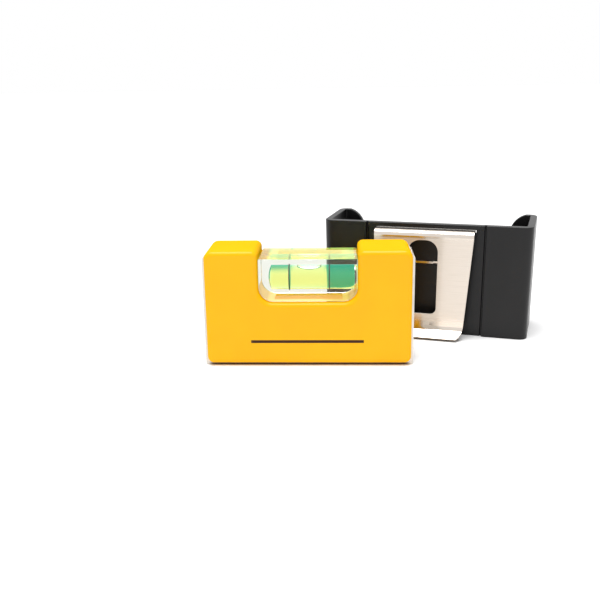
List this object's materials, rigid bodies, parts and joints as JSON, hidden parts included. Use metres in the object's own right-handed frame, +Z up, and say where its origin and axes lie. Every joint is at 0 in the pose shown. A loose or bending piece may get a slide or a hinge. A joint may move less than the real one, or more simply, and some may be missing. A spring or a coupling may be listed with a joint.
{
  "type": "pocket spirit level",
  "caption": "Small magnetic spirit level with a clear vial set in a notched yellow body, standing beside its black belt holster with a sprung steel clip.",
  "frame": {"origin": "middle of the level's base plane, on the centre line of the pipe groove", "axes": "+X along the level to its right end, +Y from its front to its rear, +Z up from the base"},
  "size_m": [0.1195, 0.0707, 0.0418],
  "materials": {
    "aluminium": "milled, satin",
    "yellow_plastic": "semi-gloss moulded plastic",
    "clear_acrylic": "polished clear acrylic",
    "vial_liquid": "fluorescent yellow-green liquid",
    "air": "clear air bubble",
    "ring_black": "matt black",
    "resin": "pale casting resin",
    "cup_steel": "zinc-plated steel",
    "magnet": "nickel-plated magnet",
    "black_plastic": "fine-grained black moulding",
    "spring_steel": "bright rolled spring steel"
  },
  "bodies": {
    "level": {"frame": "aluminium", "front_shell": "yellow_plastic", "rear_shell": "yellow_plastic", "vial_block": "clear_acrylic", "vial_plug": "clear_acrylic", "vial_fluid": "vial_liquid", "left_reading_ring": "ring_black", "right_reading_ring": "ring_black", "vial_bedding": "resin", "magnet_cup_left": "cup_steel", "magnet_cup_right": "cup_steel", "magnet_left": "magnet", "magnet_right": "magnet"},
    "bubble": {"bubble": "air"},
    "holster": {"holster_body": "black_plastic", "clip_anchor": "spring_steel"},
    "clip": {"belt_clip": "spring_steel"}
  },
  "joints": [
    {"name": "bubble_slide", "type": "slide", "parent": "level", "child": "bubble", "axis": [1, 0, 0], "range_m": [-0.0075, 0.0095], "stiffness_N_per_m": 0.01, "deforming": ["vial_fluid"]},
    {"name": "holster_lift", "type": "slide", "parent": "level", "child": "holster", "axis": [0, 0, 1], "range_m": [0, 0.05]},
    {"name": "clip_flex", "type": "hinge", "parent": "holster", "child": "clip", "pos_m": [0.04182, 0.02786, 0.0391], "axis": [-0.9648, 0.263, 0], "range_deg": [0, 7], "stiffness_Nm_per_rad": 1.5}
  ]
}
